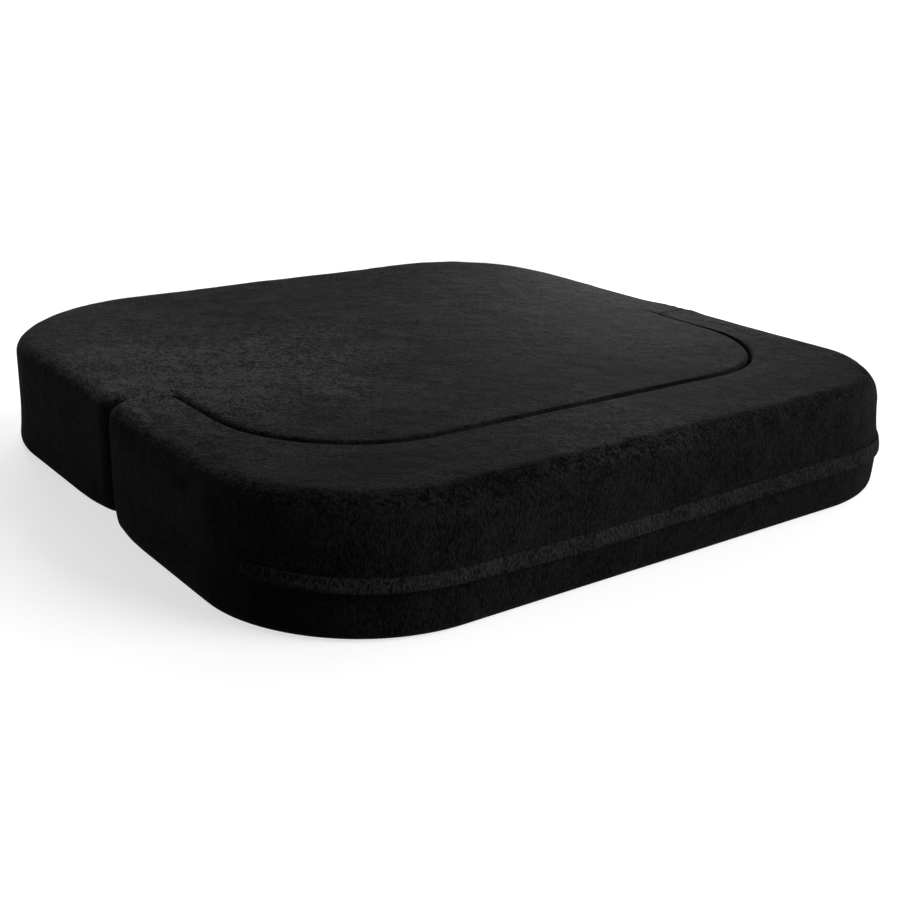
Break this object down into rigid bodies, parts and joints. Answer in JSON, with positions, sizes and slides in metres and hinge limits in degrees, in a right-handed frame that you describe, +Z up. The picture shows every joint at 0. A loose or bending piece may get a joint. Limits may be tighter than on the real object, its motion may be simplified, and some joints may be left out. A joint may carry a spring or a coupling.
{
  "type": "sofa bed",
  "caption": "Low foam sofa bed in black plush: a slab with a tongue, and a U-shaped ring that folds up over it as arms and back.",
  "frame": {"origin": "on the floor under the middle of the open bed's box", "axes": "+Z up, +Y from the ring's base towards the rear slab, +X across the bed"},
  "size_m": [1.84, 1.85, 0.2895],
  "materials": {
    "plush": "matte",
    "floor_cloth": "matte",
    "liner_cloth": "matte",
    "comfort_foam": "matte",
    "support_foam": "matte",
    "bottom_foam": "matte",
    "zip_tape": "matte",
    "zip_coil": "satin",
    "zip_metal": "satin"
  },
  "bodies": {
    "seat": {"seat_top_cover": "plush", "seat_lower_cover": "plush", "seat_floor_cloth": "floor_cloth", "seat_liner": "liner_cloth", "seat_comfort_foam": "comfort_foam", "seat_support_foam": "support_foam", "seat_bottom_foam": "bottom_foam", "seat_zip_upper_tape": "zip_tape", "seat_zip_lower_tape": "zip_tape", "seat_zip_upper_coil": "zip_coil", "seat_zip_lower_coil": "zip_coil", "seat_zip_stops": "zip_metal", "left_fold_strip": "plush", "right_fold_strip": "plush"},
    "ring": {"ring_top_cover": "plush", "ring_lower_cover": "plush", "ring_floor_cloth": "floor_cloth", "ring_liner": "liner_cloth", "ring_comfort_foam": "comfort_foam", "ring_support_foam": "support_foam", "ring_bottom_foam": "bottom_foam", "ring_zip_upper_tape": "zip_tape", "ring_zip_lower_tape": "zip_tape", "ring_zip_upper_coil": "zip_coil", "ring_zip_lower_coil": "zip_coil", "ring_zip_stops": "zip_metal", "ring_placket": "plush"},
    "seat_zip_slider": {"seat_zip_slider": "zip_metal"},
    "seat_zip_pull": {"seat_zip_pull": "zip_metal"},
    "ring_zip_slider": {"ring_zip_slider": "zip_metal"}
  },
  "joints": [
    {"name": "ring_fold", "type": "hinge", "parent": "seat", "child": "ring", "pos_m": [0, -0.06, 0.2863], "axis": [-1, 0, 0], "range_deg": [0, 180], "deforming": ["left_fold_strip", "right_fold_strip"]},
    {"name": "seat_zip_slide", "type": "slide", "parent": "seat", "child": "seat_zip_slider", "axis": [-1, 0, 0], "range_m": [0, 0.812]},
    {"name": "seat_zip_pull_turn", "type": "hinge", "parent": "seat_zip_slider", "child": "seat_zip_pull", "pos_m": [0.406, 0.9233, 0.062], "axis": [0, 0, -1], "range_deg": [0, 180]},
    {"name": "ring_zip_slide", "type": "slide", "parent": "ring", "child": "ring_zip_slider", "axis": [1, 0, 0], "range_m": [0, 1.062]}
  ]
}
